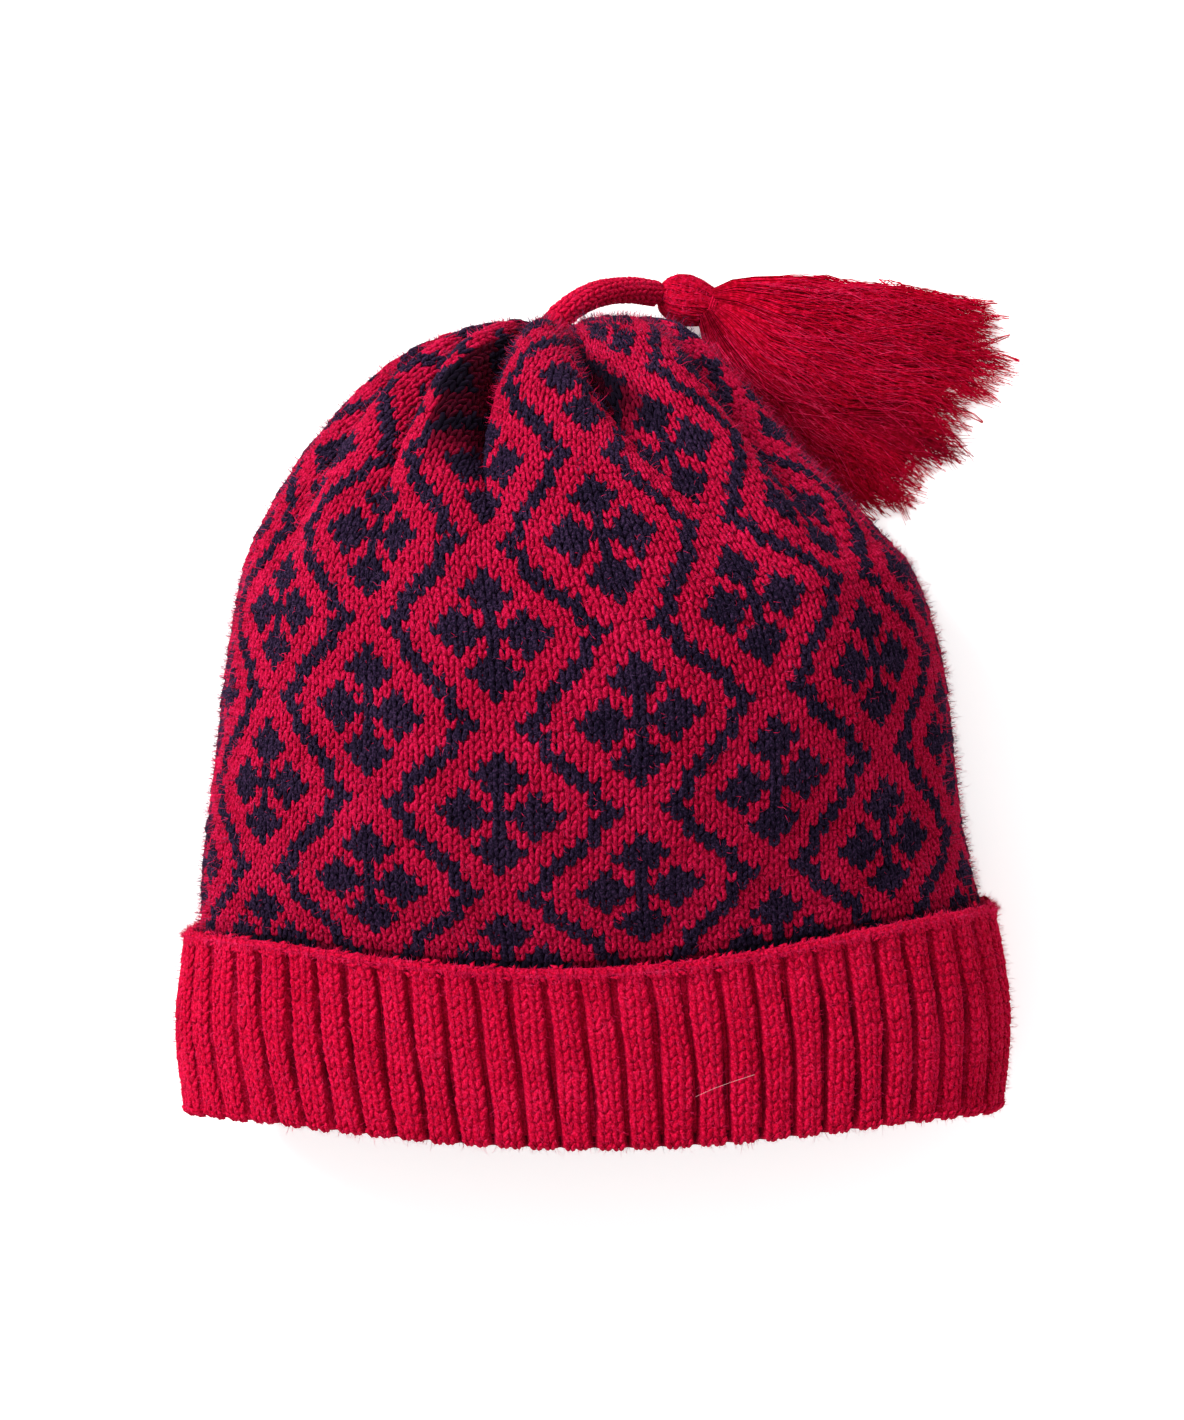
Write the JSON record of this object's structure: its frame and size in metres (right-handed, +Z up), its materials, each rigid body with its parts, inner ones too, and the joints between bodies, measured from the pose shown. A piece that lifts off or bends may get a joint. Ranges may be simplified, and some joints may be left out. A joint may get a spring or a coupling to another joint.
{
  "type": "knit cap",
  "caption": "Knitted cap lying on its back, with a patterned crown gathered at the top, a turned-up ribbed brim and a tassel on a short cord.",
  "frame": {"origin": "centre of the base of the crown and brim, on the surface that the cap lies on", "axes": "+X to the right of the cap's front as it is looked at, +Y from the brim to the gathered top, +Z up from the surface, out of the front"},
  "size_m": [0.2147, 0.2209, 0.1105],
  "materials": {
    "jacquard_wool": "brushed lambswool, crimson with a navy pattern, fuzzy and matte",
    "rib_wool": "brushed lambswool rib, crimson, fuzzy and matte",
    "cord_wool": "knitted wool cord, crimson, matte",
    "tassel_wool": "loose brushed wool strands, crimson, soft and matte"
  },
  "bodies": {
    "root": {"crown": "jacquard_wool", "ribbed_brim": "rib_wool", "tassel_cord": "cord_wool", "tassel": "tassel_wool", "tassel_tie": "tassel_wool"}
  },
  "joints": []
}
